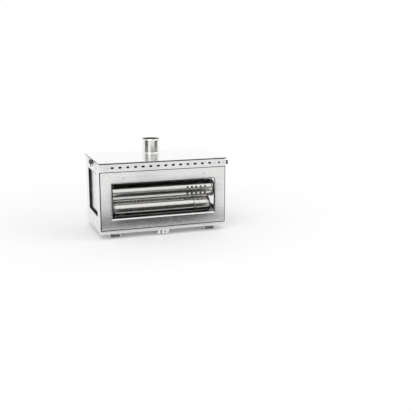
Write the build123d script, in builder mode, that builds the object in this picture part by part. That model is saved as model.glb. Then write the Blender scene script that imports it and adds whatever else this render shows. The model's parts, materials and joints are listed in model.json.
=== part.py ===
from build123d import *
import os
from math import cos, radians, sin, sqrt

os.makedirs("parts", exist_ok=True)

# Portable stainless wood stove: a glazed firebox on four folding legs, in millimetres.
# The origin is on the ground under the middle of the stove, +X to its right, +Y to its back.

# Overall sizes
cooktop_width = 450
cooktop_depth = 250
cooktop_height = 260
cooktop_thickness = 3
cooktop_corner = 2
cooktop_edge = 0.5
sheet = 1.5
side_overhang = 2.5
front_overhang = 3
back_overhang = 2.5
knob_reach = 6
cut_over = 1

# Bottom pan and floor clearance
ground_clearance = 19
pan_height = 11
pan_proud = 1
pan_front_proud = 1.5
pan_lip = 12
pan_corner = 3

# Side and back panels
flange_width = 14
flange_lap = 1.5
top_lip_inset = 14
back_lip = 10
back_lip_gap = 1
back_rivet_inset = 20
back_rivet_count = 4

# Header strip with its row of air slots
header_height = 25.5
header_seat = 1.5
header_lip = 12
header_corner = 4
corner_tab_width = 22
seam_gap = 0.3
slot_count = 14
slot_width = 10.5
slot_height = 6.5
slot_corner = 1.5
slot_left_margin = 43.5
slot_right_margin = 60.25
slot_drop = 12
sight_hole_margin = 25.5
sight_hole_radius = 3.5

# Air slider behind the header strip
slider_height = 16
slider_sheet = 1.2
slider_gap = 0.3
slider_travel = 12
slider_left_margin = 6.5
slider_right_margin = 17.5
tongue_height = 8
tongue_setback = 5
tongue_clearance = 0.5
guide_left_margin = 29.5
guide_right_margins = (40.5, 9.5)
guide_radius = 1.5
guide_head_radius = 2.4
washer_radius = 4.5
washer_sheet = 0.8
tab_lobe_radius = 3.75
tab_lobe_spread = 3.6
tab_waist = 4
tab_thickness = 2.2
tab_pin_radius = 1
tab_pin_head_radius = 1.8
tab_pin_inset = 2

# Front panel and its window
panel_gap = 2.5
panel_side_gap = 3
panel_seal_thickness = 1
panel_seal_width = 7.5
front_window_margin = 37
front_window_sill = 32.5
front_window_head = 34.5
front_window_flare = 4
front_clip_inset = 44.5
front_seal_show = 0.5
glass_thickness = 4
glass_overlap = 8
glass_seal_thickness = 2
clip_sheet = 1.2
clip_width = 20
clip_foot = 5
clip_reach = 7
clip_lip = 10
clip_clearance = 0.5

# Side openings: the loading door on the left and the window on the right
opening_width = 150
opening_sill = 40
opening_head = 12
window_return = 7.5
side_seal_show = 2
jamb_depth = 18
side_clip_height = 35

# Loading door
door_recess = 7.5
door_seal = 2
door_seal_setback = 0.3
door_side_gap = 0.5
door_top_gap = 0.7
door_bottom_gap = 3
door_depth = 8
pivot_rise = 4.5
pivot_radius = 2
pivot_clearance = 0.08
pivot_length = 7
pivot_head_radius = 3.5
pivot_head = 1.2
liner_sheet = 1.5

# Latch of the loading door
latch_drop = 7.5
latch_shaft_radius = 3
latch_shaft_stub = 2
latch_clearance = 0.3
latch_ring_width = 2
latch_ring_thickness = 1
latch_knob_thickness = 5
latch_lobe_radius = 8
latch_lobe_spread = 7
latch_notch_radius = 3
latch_knob_bevel = 0.8
latch_tail_width = 3
latch_tail_length = 17
latch_tail_thickness = 2.5
cam_thickness = 2
cam_width = 10
cam_overlap = 7
cam_depth = 3
cam_face_clearance = 0.5
cam_side_clearance = 1
latch_plate_length = 148
latch_plate_corner = 6
latch_rivet_inset = 6

# Rivets
rivet_radius = 1.6
rivet_head_radius = 2.8
rivet_head = 0.8
rivet_tail = 0.9
rivet_dome = 0.56

# Cooktop seal
cooktop_seal_width = 8
cooktop_seal_side_inset = 3
cooktop_seal_back_inset = 2

# Grate and its two ledges
grate_height = 60
grate_sheet = 1.5
grate_front_gap = 24
grate_back_gap = 17
grate_side_gap = 1.5
grate_slot_length = 60
grate_slot_width = 8
grate_columns = 5
grate_rows = 10
grate_column_pitch = 78
grate_row_pitch = 18
ledge_leg = 15
ledge_shelf = 15
ledge_front_inset = 3
ledge_back_inset = 4
ledge_rivet_drop = 7.5
ledge_rivet_spacing = 68

# Flue collar and the baffle below it
flue_radius = 30
flue_wall = 1.2
flue_x = 9
flue_back_offset = 42.5
collar_height = 50
collar_bead = 0.7
collar_bead_height = 4
collar_foot = 2.4
collar_foot_height = 1.6
baffle_drop = 35
baffle_width = 150
baffle_depth = 80
baffle_lead = 15
baffle_tab_inset = 5

# Flue sections stored in the firebox, placed by their gaps to the side walls
section_wall = 0.8
section_slip = 0.9
section_seat = 0.1
section_spacing = 61
section_front_gap = 11
outer_left_gap = 48.5
outer_right_gap = 103.5
inner_left_gap = 106
inner_right_gap = 46
arrestor_left_gap = 45
arrestor_right_gap = 36
arrestor_glass_gap = 0.7
arrestor_cap_length = 14
arrestor_cap_wall = 1
arrestor_cap_edge = 0.6
vent_rows = 8
vent_columns = 5
vent_pitch = 16
vent_radius = 3.5
vent_setback = 98
vent_tilt = 21
seam_width = 7
seam_proud = 0.9
seam_bite = 0.4
seam_tilt = 62
crimp_pitch = 13.5
crimp_length = 8
crimp_width = 4.2
crimp_proud = 0.5

# Primary air slide under the pan
slide_half_width = 65
slide_setback = 4
slide_length = 148
slide_gap = 0.3
slide_travel = 20
air_slot_length = 90
air_slot_width = 12
air_slot_pitch = 40
air_slot_rows = 3
air_slot_setback = 43
rail_foot = 9
rail_lip = 7
rail_setback = 10
pull_x = 2
pull_width = 23
pull_bottom = 4
pull_hole_radius = 3
pull_slant = 5
stop_tab_x = -20
stop_tab_width = 9

# Folding legs
leg_inset = 52.5
leg_width = 36
leg_height = 16
leg_length = 98
leg_middle_gap = 2
leg_pivot_inset = 8
leg_end_radius = 7.5
leg_hole_length = 39
leg_hole_middle = 39
leg_hole_width = 14
leg_pin_radius = 2
leg_pin_clearance = 0.08
leg_pin_head = 1.2
leg_pin_head_radius = 3.5
bracket_sheet = 1.5
bracket_gap = 0.5
bracket_length = 18
bracket_bottom = 3

# Levels and faces worked out from the sizes above
cooktop_bottom = cooktop_height - cooktop_thickness
header_top = cooktop_bottom - header_seat
header_bottom = header_top - header_height
flange_top = header_bottom + flange_lap
pan_top = ground_clearance + pan_height
side_face = cooktop_width / 2 - side_overhang
side_inner = side_face - sheet
side_reach = cooktop_width / 2 + knob_reach
front_face = -(cooktop_depth / 2 - front_overhang)
header_face = front_face - sheet
front_inner = front_face + sheet
back_face = cooktop_depth / 2 - back_overhang
back_inner = back_face - sheet
seal_back = front_inner + panel_seal_thickness
panel_bottom = pan_top + panel_gap
panel_top = header_bottom - panel_gap
panel_half = side_face - panel_side_gap
front_window_low = panel_bottom + front_window_sill
front_window_high = panel_top - front_window_head
front_window_middle = (front_window_low + front_window_high) / 2
front_window_height = front_window_high - front_window_low
front_window_width = 2 * (side_face - front_window_margin)
front_clip_x = front_window_width / 2 - front_clip_inset
front_glass_front = front_window_flare + glass_seal_thickness
front_glass_back = front_glass_front + glass_thickness
right_glass_front = window_return + glass_seal_thickness
right_glass_back = right_glass_front + glass_thickness
slot_level = header_top - slot_drop
slot_pitch = (2 * side_face - slot_left_margin - slot_right_margin) / (slot_count - 1)
slot_start = -side_face + slot_left_margin
slot_places = [(slot_start + slot_pitch * index, slot_level) for index in range(slot_count)]
sight_hole_x = side_face - sight_hole_margin
guide_x = [-side_face + guide_left_margin] + [side_face - margin for margin in guide_right_margins]
guide_places = [(x, slot_level) for x in guide_x]
slider_left_end = -side_face + slider_left_margin
slider_right_end = side_face - slider_right_margin
tongue_end = side_reach - tongue_setback
slider_front = front_face + slider_gap
slider_back = slider_front + slider_sheet
washer_front = slider_back + slider_gap
washer_back = washer_front + washer_sheet
tab_middle_x = side_reach - tab_lobe_radius
tab_pin_x = tab_middle_x - tab_pin_inset
opening_bottom = pan_top + opening_sill
opening_top = header_bottom - opening_head
opening_height = opening_top - opening_bottom
opening_middle = (opening_bottom + opening_top) / 2
door_face = -side_face + door_recess
door_bottom = opening_bottom + door_seal + door_bottom_gap
door_top = opening_top - door_seal - door_top_gap
door_half = opening_width / 2 - door_seal - door_side_gap
door_inner = door_face + door_depth
pivot_x = door_face + door_depth / 2
pivot_z = door_bottom + pivot_rise
latch_height = header_top - latch_drop
latch_plate_face = -side_face - sheet
cam_length = latch_height - opening_top + cam_overlap
cam_front_x = -side_inner + cam_depth / 2
flue_y = back_face - flue_back_offset
collar_top = cooktop_height + collar_height
collar_outer = flue_radius + flue_wall
section_front_y = front_face + front_glass_back + section_front_gap + flue_radius
section_z = grate_height + flue_radius + section_seat
section_reach = 2 * flue_radius + section_seat
arrestor_y = front_face + front_glass_back + arrestor_glass_gap + arrestor_cap_wall + flue_radius
arrestor_z = section_z + sqrt(section_reach**2 - (section_front_y - arrestor_y) ** 2)
arrestor_right_end = side_inner - arrestor_right_gap
slide_front = front_face + slide_setback
slide_back = slide_front + slide_length
slide_top = ground_clearance - slide_gap
slide_bottom = slide_top - sheet
leg_x = side_face - leg_inset
leg_pivot_z = leg_height / 2
leg_pivot_y = leg_middle_gap + leg_length - leg_pivot_inset

# Wall planes, each with its drawing plane on the wall's outer face and +Z up
front_wall = Plane(origin=(0, front_face, 0), x_dir=(1, 0, 0), z_dir=(0, -1, 0))
right_wall = Plane(origin=(side_face, 0, 0), x_dir=(0, 1, 0), z_dir=(1, 0, 0))
left_wall = Plane(origin=(-side_face, 0, 0), x_dir=(0, -1, 0), z_dir=(-1, 0, 0))
back_wall = Plane(origin=(0, back_face, 0), x_dir=(-1, 0, 0), z_dir=(0, 1, 0))


def block(low, high, mode=Mode.ADD):
    """Adds, or cuts, the box between two opposite corners."""
    size = [b - a for a, b in zip(low, high)]
    middle = tuple((a + b) / 2 for a, b in zip(low, high))
    with Locations(middle):
        Box(*size, mode=mode)


def frame_ring(wall, width, height, middle, border, near, far):
    """A rectangular ring on a wall, grown outwards by its border, from one depth to another."""
    with BuildPart() as ring:
        with BuildSketch(wall.offset(-near)):
            with Locations((0, middle)):
                Rectangle(width + 2 * border, height + 2 * border)
                Rectangle(width, height, mode=Mode.SUBTRACT)
        extrude(amount=-(far - near))
    return ring.part


def rivet_group(wall, places, grip):
    """Domed rivets with their heads on a wall's face and their tails behind what they hold."""
    with BuildPart(wall) as rivets:
        with Locations(*[(u, v, 0) for u, v in places]):
            Cylinder(rivet_head_radius, rivet_head, align=(Align.CENTER, Align.CENTER, Align.MIN))
        outwards = Axis(wall.origin, wall.z_dir)
        fillet(rivets.edges().filter_by(GeomType.CIRCLE).group_by(outwards)[-1], rivet_dome)
        with Locations(*[(u, v, 0) for u, v in places]):
            Cylinder(rivet_radius, grip, align=(Align.CENTER, Align.CENTER, Align.MAX))
        with Locations(*[(u, v, -grip) for u, v in places]):
            Cylinder(rivet_head_radius, rivet_tail, align=(Align.CENTER, Align.CENTER, Align.MAX))
    return rivets.part


def pierce(wall, places, radius, depth):
    """Cuts round holes through a wall from its outer face."""
    with Locations(*[wall.offset(cut_over / 2).location * Location((u, v, 0)) for u, v in places]):
        Cylinder(radius, depth + cut_over, align=(Align.CENTER, Align.CENTER, Align.MAX), mode=Mode.SUBTRACT)


def glass_clip_group(wall, places, glass_back):
    """Stepped clips that hold a pane: each place is its rivet and the way to the pane's middle."""
    with BuildPart() as clips:
        for u, v, towards in places:
            spot = wall.location * Location((u, v, 0), (0, 0, towards))
            seat = Plane(spot)
            with BuildSketch(Plane(origin=seat.origin, x_dir=seat.x_dir, z_dir=-seat.y_dir)):
                with BuildLine():
                    Polyline(
                        (-clip_foot, -sheet),
                        (clip_reach, -sheet),
                        (clip_reach, -glass_back),
                        (clip_reach + clip_lip, -glass_back),
                        (clip_reach + clip_lip, -glass_back - clip_sheet),
                        (clip_reach - clip_sheet, -glass_back - clip_sheet),
                        (clip_reach - clip_sheet, -sheet - clip_sheet),
                        (-clip_foot, -sheet - clip_sheet),
                        close=True,
                    )
                make_face()
            extrude(amount=clip_width / 2, both=True)
        pierce(wall, [(u, v) for u, v, towards in places], rivet_radius, glass_back)
    return clips.part


def finish(part, name):
    """Names a finished piece and writes it."""
    part.label = name
    export_step(part, f"parts/{name}.step")


# Bottom pan: a tray whose walls turn in at the top to carry the side panels
with BuildPart() as bottom_pan:
    pan_x = side_face + pan_proud
    pan_front = front_face - pan_front_proud
    pan_back = back_face + pan_proud
    block((-pan_x, pan_front, ground_clearance), (pan_x, pan_back, pan_top))
    fillet(bottom_pan.edges().filter_by(Axis.Z), pan_corner)
    block(
        (-pan_x + sheet, pan_front + sheet, ground_clearance + sheet),
        (pan_x - sheet, pan_back - sheet, pan_top - sheet),
        Mode.SUBTRACT,
    )
    block(
        (-pan_x + pan_lip, pan_front + pan_lip, pan_top - sheet),
        (pan_x - pan_lip, pan_back - pan_lip, pan_top),
        Mode.SUBTRACT,
    )
    air_rows = [slide_front + air_slot_setback + air_slot_pitch * row for row in range(air_slot_rows)]
    for row_y in air_rows:
        with BuildSketch(Plane.XY.offset(ground_clearance)):
            with Locations((0, row_y)):
                SlotOverall(air_slot_length, air_slot_width)
        extrude(amount=sheet, mode=Mode.SUBTRACT)
finish(bottom_pan.part, "bottom_pan")


def side_walls(hand):
    """The sheet, the inward flanges and the top lip that both side panels share."""
    inner, outer = hand * side_inner, hand * side_face
    flange = hand * (side_inner - flange_width)
    lip = hand * (side_inner - header_lip)
    low_x, high_x = min(inner, outer), max(inner, outer)
    block((low_x, seal_back, pan_top), (high_x, back_inner, header_top))
    block((low_x, front_face, flange_top), (high_x, seal_back, header_top))
    low_x, high_x = min(inner, flange), max(inner, flange)
    block((low_x, seal_back, pan_top), (high_x, seal_back + sheet, flange_top))
    block((low_x, back_inner - sheet, pan_top), (high_x, back_inner, header_top - 2 * sheet))
    low_x, high_x = min(inner, lip), max(inner, lip)
    block(
        (low_x, front_face + top_lip_inset, header_top - sheet),
        (high_x, back_inner - top_lip_inset, header_top),
    )


ledge_rivet_height = grate_height - grate_sheet - ledge_rivet_drop
ledge_places = [(u, ledge_rivet_height) for u in (-ledge_rivet_spacing, 0, ledge_rivet_spacing)]
back_rivet_u = side_inner - flange_width / 2
back_rivet_pitch = (header_top - pan_top - 2 * back_rivet_inset) / (back_rivet_count - 1)
back_rivet_places = [
    (u, pan_top + back_rivet_inset + back_rivet_pitch * index)
    for u in (-back_rivet_u, back_rivet_u)
    for index in range(back_rivet_count)
]
cam_slot_reach = sqrt(cam_length**2 + (cam_width / 2) ** 2 - (latch_height - opening_top - sheet) ** 2)
cam_slot_low = (cam_front_x - cam_face_clearance, -cam_width / 2 - cam_side_clearance)
cam_slot_high = (cam_front_x + cam_thickness + cam_face_clearance, cam_slot_reach + cam_side_clearance)
latch_rivet_u = latch_plate_length / 2 - latch_rivet_inset
latch_rivet_places = [
    (u, v)
    for u in (-latch_rivet_u, latch_rivet_u)
    for v in (header_bottom + latch_rivet_inset, header_top - latch_rivet_inset)
]

# Left side panel, with the door jamb and the tab that turns the front corner
with BuildPart() as left_side_panel:
    side_walls(-1)
    block(
        (-side_face, header_face, header_bottom),
        (-side_face + corner_tab_width, front_face, header_top),
    )
    block(
        (-side_face, -opening_width / 2 - sheet, opening_bottom - sheet),
        (-side_face + jamb_depth, opening_width / 2 + sheet, opening_top + sheet),
    )
    block(
        (-side_face, -opening_width / 2, opening_bottom),
        (-side_face + jamb_depth, opening_width / 2, opening_top),
        Mode.SUBTRACT,
    )
    block((*cam_slot_low, opening_top - cut_over), (*cam_slot_high, opening_top + sheet), Mode.SUBTRACT)
    pierce(left_wall, [(0, latch_height)], latch_shaft_radius + latch_clearance, sheet)
    pierce(left_wall, ledge_places + latch_rivet_places, rivet_radius, sheet)
    with Locations(Location((pivot_x, 0, pivot_z), (90, 0, 0))):
        Cylinder(pivot_radius, opening_width + 2 * sheet + 2 * cut_over, mode=Mode.SUBTRACT)
    pierce(back_wall, back_rivet_places, rivet_radius, 2 * sheet)
finish(left_side_panel.part, "left_side_panel")

# Right side panel, with the window opening and the notch for the air slider
with BuildPart() as right_side_panel:
    side_walls(1)
    block(
        (side_face - window_return, -opening_width / 2 - sheet, opening_bottom - sheet),
        (side_face, opening_width / 2 + sheet, opening_top + sheet),
    )
    block(
        (side_face - window_return, -opening_width / 2, opening_bottom),
        (side_face, opening_width / 2, opening_top),
        Mode.SUBTRACT,
    )
    notch_half = tongue_height / 2 + tongue_clearance
    block(
        (side_inner, front_face, slot_level - notch_half),
        (side_face, slider_back + tongue_clearance, slot_level + notch_half),
        Mode.SUBTRACT,
    )
    side_clip_u = opening_width / 2 + glass_overlap + clip_clearance + clip_reach
    side_clip_spots = [
        (side * side_clip_u, opening_middle + rise, 90 + side * 90)
        for side in (-1, 1)
        for rise in (-side_clip_height, side_clip_height)
    ]
    side_clip_places = [(u, v) for u, v, towards in side_clip_spots]
    pierce(right_wall, ledge_places + side_clip_places, rivet_radius, sheet)
    pierce(back_wall, back_rivet_places, rivet_radius, 2 * sheet)
finish(right_side_panel.part, "right_side_panel")

# Back panel
with BuildPart() as back_panel:
    block((-side_face, back_inner, pan_top), (side_face, back_face, header_top))
    back_lip_half = side_inner - flange_width - back_lip_gap
    block(
        (-back_lip_half, back_inner - back_lip, header_top - sheet),
        (back_lip_half, back_inner, header_top),
    )
    pierce(back_wall, back_rivet_places, rivet_radius, sheet)
finish(back_panel.part, "back_panel")
finish(rivet_group(back_wall, back_rivet_places, 2 * sheet), "back_panel_rivets")

# Front panel: the window frame with its flared edge
front_clip_rise = front_window_height / 2 + glass_overlap + clip_clearance + clip_reach
front_clip_spots = [
    (side * front_clip_x, front_window_middle + rise * front_clip_rise, -90 * rise)
    for side in (-1, 1)
    for rise in (-1, 1)
]
front_clip_places = [(u, v) for u, v, towards in front_clip_spots]
with BuildPart() as front_panel:
    block((-panel_half, front_face, panel_bottom), (panel_half, front_inner, panel_top))
    for skin, mode in ((sheet * sqrt(2), Mode.ADD), (0, Mode.SUBTRACT)):
        with BuildSketch(front_wall):
            with Locations((0, front_window_middle)):
                Rectangle(front_window_width + 2 * skin, front_window_height + 2 * skin)
        extrude(amount=-front_window_flare, taper=45, mode=mode)
    pierce(front_wall, front_clip_places, rivet_radius, sheet)
finish(front_panel.part, "front_panel")

# Seal tape between the front panel and the flanges behind it
with BuildPart() as front_panel_seal:
    block((-side_face, front_inner, pan_top), (side_face, seal_back, flange_top))
    block(
        (-side_face + panel_seal_width, front_inner, pan_top + panel_seal_width),
        (side_face - panel_seal_width, seal_back, flange_top - panel_seal_width),
        Mode.SUBTRACT,
    )
finish(front_panel_seal.part, "front_panel_seal")

# Front header strip with the row of air slots
with BuildPart() as front_air_strip:
    strip_left = -side_face + corner_tab_width + seam_gap
    block((strip_left, header_face, header_bottom), (side_face, front_face, header_top))
    lower_right_edge = (
        front_air_strip.edges().filter_by(Axis.Y).group_by(Axis.X)[-1].sort_by(Axis.Z)[0]
    )
    fillet(lower_right_edge, header_corner)
    block((strip_left, front_face, header_top - sheet), (side_inner, front_face + header_lip, header_top))
    with BuildSketch(front_wall.offset(sheet)):
        with Locations(*slot_places):
            RectangleRounded(slot_width, slot_height, slot_corner)
        with Locations((sight_hole_x, slot_level)):
            Circle(sight_hole_radius)
        with Locations(*guide_places):
            Circle(guide_radius)
    extrude(amount=-sheet, mode=Mode.SUBTRACT)
finish(front_air_strip.part, "front_air_strip")

# Air slider: the inner strip whose slots open or close the row above the window
with BuildPart() as air_slider_strip:
    with BuildSketch(front_wall.offset(-slider_gap)):
        with Locations(((slider_left_end + slider_right_end) / 2, slot_level)):
            Rectangle(slider_right_end - slider_left_end, slider_height)
        with Locations(((slider_right_end + tongue_end) / 2, slot_level)):
            Rectangle(tongue_end - slider_right_end, tongue_height)
        with Locations(*slot_places):
            RectangleRounded(slot_width, slot_height, slot_corner, mode=Mode.SUBTRACT)
        with Locations((sight_hole_x, slot_level)):
            Circle(sight_hole_radius, mode=Mode.SUBTRACT)
        with Locations(*[(x - slider_travel / 2, slot_level) for x in guide_x]):
            guide_slot_height = 2 * (guide_radius + slider_gap)
            SlotOverall(slider_travel + guide_slot_height, guide_slot_height, mode=Mode.SUBTRACT)
        with Locations((tab_pin_x, slot_level)):
            Circle(tab_pin_radius, mode=Mode.SUBTRACT)
    extrude(amount=-slider_sheet)
finish(air_slider_strip.part, "air_slider_strip")

# Two-lobed finger tab on the end of the slider
with BuildPart() as air_slider_tab:
    with BuildSketch(front_wall.offset(-slider_gap)):
        with Locations(
            (tab_middle_x, slot_level - tab_lobe_spread),
            (tab_middle_x, slot_level + tab_lobe_spread),
        ):
            Circle(tab_lobe_radius)
        with Locations((tab_middle_x, slot_level)):
            Rectangle(tab_waist, 2 * tab_lobe_spread)
    extrude(amount=tab_thickness)
    pierce(front_wall.offset(tab_thickness), [(tab_pin_x, slot_level)], tab_pin_radius, 2 * tab_thickness)
finish(air_slider_tab.part, "air_slider_tab")

# Pin that joins the tab and the slider
with BuildPart(front_wall.offset(-slider_gap - slider_sheet)) as air_slider_pin:
    with Locations((tab_pin_x, slot_level, 0)):
        Cylinder(
            tab_pin_radius, slider_sheet + tab_thickness, align=(Align.CENTER, Align.CENTER, Align.MIN)
        )
        Cylinder(tab_pin_head_radius, rivet_tail, align=(Align.CENTER, Align.CENTER, Align.MAX))
finish(air_slider_pin.part, "air_slider_pin")

# Shoulder rivets and washers that guide the slider
with BuildPart(front_wall.offset(sheet)) as slider_guide_rivets:
    with Locations(*[(u, v, 0) for u, v in guide_places]):
        Cylinder(guide_head_radius, rivet_head, align=(Align.CENTER, Align.CENTER, Align.MIN))
    fillet(slider_guide_rivets.edges().filter_by(GeomType.CIRCLE).group_by(Axis.Y)[0], rivet_dome)
    guide_grip = washer_back - header_face
    with Locations(*[(u, v, 0) for u, v in guide_places]):
        Cylinder(guide_radius, guide_grip, align=(Align.CENTER, Align.CENTER, Align.MAX))
    with Locations(*[(u, v, -guide_grip) for u, v in guide_places]):
        Cylinder(guide_head_radius, rivet_tail, align=(Align.CENTER, Align.CENTER, Align.MAX))
finish(slider_guide_rivets.part, "slider_guide_rivets")

with BuildPart() as slider_guide_washers:
    with BuildSketch(front_wall.offset(front_face - washer_front)):
        with Locations(*guide_places):
            Circle(washer_radius)
            Circle(guide_radius, mode=Mode.SUBTRACT)
    extrude(amount=-washer_sheet)
finish(slider_guide_washers.part, "slider_guide_washers")

# Cooktop plate with its seal and the flue collar
with BuildPart() as cooktop_plate:
    with BuildSketch(Plane.XY.offset(cooktop_bottom)):
        RectangleRounded(cooktop_width, cooktop_depth, cooktop_corner)
        with Locations((flue_x, flue_y)):
            Circle(collar_outer, mode=Mode.SUBTRACT)
    extrude(amount=cooktop_thickness)
    chamfer(cooktop_plate.faces().sort_by(Axis.Z)[-1].outer_wire().edges(), cooktop_edge)
finish(cooktop_plate.part, "cooktop_plate")

with BuildPart() as cooktop_seal:
    seal_x = side_inner - cooktop_seal_side_inset
    seal_front = front_face + header_lip - cooktop_seal_width
    seal_rear = back_inner - cooktop_seal_back_inset
    block((-seal_x, seal_front, header_top), (seal_x, seal_rear, cooktop_bottom))
    block(
        (-seal_x + cooktop_seal_width, seal_front + cooktop_seal_width, header_top),
        (seal_x - cooktop_seal_width, seal_rear - cooktop_seal_width, cooktop_bottom),
        Mode.SUBTRACT,
    )
finish(cooktop_seal.part, "cooktop_seal")

with BuildPart() as flue_collar:
    with BuildSketch(Plane.XZ):
        with BuildLine():
            bead_low = collar_top - collar_bead_height
            bead_middle = (collar_outer + collar_bead, (bead_low + collar_top) / 2)
            Polyline(
                (flue_radius, cooktop_bottom),
                (collar_outer, cooktop_bottom),
                (collar_outer, cooktop_height),
                (collar_outer + collar_foot, cooktop_height),
                (collar_outer, cooktop_height + collar_foot_height),
                (collar_outer, bead_low),
            )
            ThreePointArc((collar_outer, bead_low), bead_middle, (collar_outer, collar_top))
            Line((collar_outer, collar_top), (flue_radius, collar_top))
            Line((flue_radius, collar_top), (flue_radius, cooktop_bottom))
        make_face()
    revolve(axis=Axis.Z)
flue_collar_part = Pos(flue_x, flue_y, 0) * flue_collar.part
finish(flue_collar_part, "flue_collar")

# Baffle that turns the smoke below the flue
with BuildPart() as baffle_plate:
    baffle_low = cooktop_bottom - baffle_drop
    baffle_left = flue_x - baffle_width / 2
    baffle_right = flue_x + baffle_width / 2
    baffle_front = flue_y - baffle_lead - baffle_depth / 2
    baffle_back = baffle_front + baffle_depth
    tab_front = baffle_front + baffle_tab_inset
    tab_back = baffle_back - baffle_tab_inset
    block((baffle_left, baffle_front, baffle_low), (baffle_right, baffle_back, baffle_low + sheet))
    block((baffle_left, tab_front, baffle_low), (baffle_left + sheet, tab_back, cooktop_bottom))
    block((baffle_right - sheet, tab_front, baffle_low), (baffle_right, tab_back, cooktop_bottom))
finish(baffle_plate.part, "baffle_plate")

# Glazing: a seal, a pane, clips and their rivets behind each window return
front_seal_inset = front_window_flare + front_seal_show
front_glass_seal = frame_ring(
    front_wall,
    front_window_width - 2 * front_seal_inset,
    front_window_height - 2 * front_seal_inset,
    front_window_middle,
    front_seal_inset + glass_overlap,
    front_window_flare,
    front_glass_front,
)
finish(front_glass_seal, "front_glass_seal")

with BuildPart() as front_glass:
    with BuildSketch(front_wall.offset(-front_glass_front)):
        with Locations((0, front_window_middle)):
            Rectangle(front_window_width + 2 * glass_overlap, front_window_height + 2 * glass_overlap)
    extrude(amount=-glass_thickness)
finish(front_glass.part, "front_glass")
finish(glass_clip_group(front_wall, front_clip_spots, front_glass_back), "front_glass_clips")
finish(rivet_group(front_wall, front_clip_places, sheet + clip_sheet), "front_panel_rivets")

right_glass_seal = frame_ring(
    right_wall,
    opening_width - 2 * side_seal_show,
    opening_height - 2 * side_seal_show,
    opening_middle,
    side_seal_show + glass_overlap,
    window_return,
    right_glass_front,
)
finish(right_glass_seal, "right_glass_seal")

with BuildPart() as right_glass:
    with BuildSketch(right_wall.offset(-right_glass_front)):
        with Locations((0, opening_middle)):
            Rectangle(opening_width + 2 * glass_overlap, opening_height + 2 * glass_overlap)
    extrude(amount=-glass_thickness)
finish(right_glass.part, "right_glass")
finish(glass_clip_group(right_wall, side_clip_spots, right_glass_back), "right_glass_clips")
finish(rivet_group(right_wall, side_clip_places, sheet + clip_sheet), "right_panel_rivets")

# Loading door: a shallow pan with a liner, hung on two pivot pins near its lower edge
with BuildPart() as loading_door:
    block((door_face, -door_half, door_bottom), (door_inner, door_half, door_top))
    block(
        (door_face + sheet, -door_half + sheet, door_bottom + sheet),
        (door_inner, door_half - sheet, door_top - sheet),
        Mode.SUBTRACT,
    )
    with Locations(Location((pivot_x, 0, pivot_z), (90, 0, 0))):
        Cylinder(pivot_radius + pivot_clearance, 2 * door_half + cut_over, mode=Mode.SUBTRACT)
finish(loading_door.part, "loading_door")

with BuildPart() as door_liner:
    liner_half = door_half - sheet
    block(
        (door_inner - liner_sheet, -liner_half, door_bottom + sheet),
        (door_inner, liner_half, door_top - sheet),
    )
finish(door_liner.part, "door_liner")

with BuildPart() as door_seal_ring:
    seal_near = -side_face + door_seal_setback
    half = opening_width / 2
    block((seal_near, -half, opening_bottom), (door_face, half, opening_top))
    block(
        (seal_near, -half + door_seal, opening_bottom + door_seal),
        (door_face, half - door_seal, opening_top - door_seal),
        Mode.SUBTRACT,
    )
    block((*cam_slot_low, opening_top - door_seal), (*cam_slot_high, opening_top), Mode.SUBTRACT)
finish(door_seal_ring.part, "door_seal")

with BuildPart() as door_pivot_pins:
    pin_length = opening_width / 2 + sheet - door_half + pivot_length
    for hand in (-1, 1):
        jamb_outer = hand * (opening_width / 2 + sheet)
        with Locations(Location((pivot_x, jamb_outer, pivot_z), (90 * hand, 0, 0))):
            Cylinder(pivot_radius, pin_length, align=(Align.CENTER, Align.CENTER, Align.MIN))
            Cylinder(pivot_head_radius, pivot_head, align=(Align.CENTER, Align.CENTER, Align.MAX))
finish(door_pivot_pins.part, "door_pivot_pins")

# Latch plate, turn knob, shaft and the cam that drops in front of the door
with BuildPart() as latch_plate:
    block(
        (latch_plate_face, -latch_plate_length / 2, header_bottom),
        (-side_face, latch_plate_length / 2, header_top),
    )
    fillet(latch_plate.edges().filter_by(Axis.X).group_by(Axis.Z)[0], latch_plate_corner)
    pierce(left_wall.offset(sheet), [(0, latch_height)], latch_shaft_radius + latch_clearance, sheet)
    pierce(left_wall.offset(sheet), latch_rivet_places, rivet_radius, sheet)
finish(latch_plate.part, "latch_plate")
finish(rivet_group(left_wall.offset(sheet), latch_rivet_places, 2 * sheet), "latch_plate_rivets")

knob_back = -side_reach + latch_knob_thickness
with BuildPart() as latch_knob:
    with BuildSketch(Plane(origin=(knob_back, 0, 0), x_dir=(0, -1, 0), z_dir=(-1, 0, 0))) as knob_outline:
        with Locations((-latch_lobe_spread, latch_height), (latch_lobe_spread, latch_height)):
            Circle(latch_lobe_radius)
        fillet(knob_outline.vertices(), latch_notch_radius)
    extrude(amount=latch_knob_thickness)
    chamfer(latch_knob.edges().group_by(Axis.X)[0], latch_knob_bevel)
    block(
        (knob_back - latch_tail_thickness, -latch_tail_width / 2, latch_height - latch_tail_length),
        (knob_back, latch_tail_width / 2, latch_height),
    )
finish(latch_knob.part, "latch_knob")

cam_back_x = cam_front_x + cam_thickness
with BuildPart() as latch_shaft:
    shaft_length = cam_back_x + latch_shaft_stub - knob_back
    with Locations(Location((knob_back, 0, latch_height), (0, 90, 0))):
        Cylinder(latch_shaft_radius, shaft_length, align=(Align.CENTER, Align.CENTER, Align.MIN))
finish(latch_shaft.part, "latch_shaft")

with BuildPart() as latch_cam:
    with BuildSketch(Plane(origin=(cam_front_x, 0, 0), x_dir=(0, 1, 0), z_dir=(1, 0, 0))):
        with Locations((0, latch_height)):
            Circle(cam_width / 2)
        with Locations((cam_length / 2, latch_height)):
            Rectangle(cam_length, cam_width)
        with Locations((0, latch_height)):
            Circle(latch_shaft_radius, mode=Mode.SUBTRACT)
    extrude(amount=cam_thickness)
finish(latch_cam.part, "latch_cam")

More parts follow.
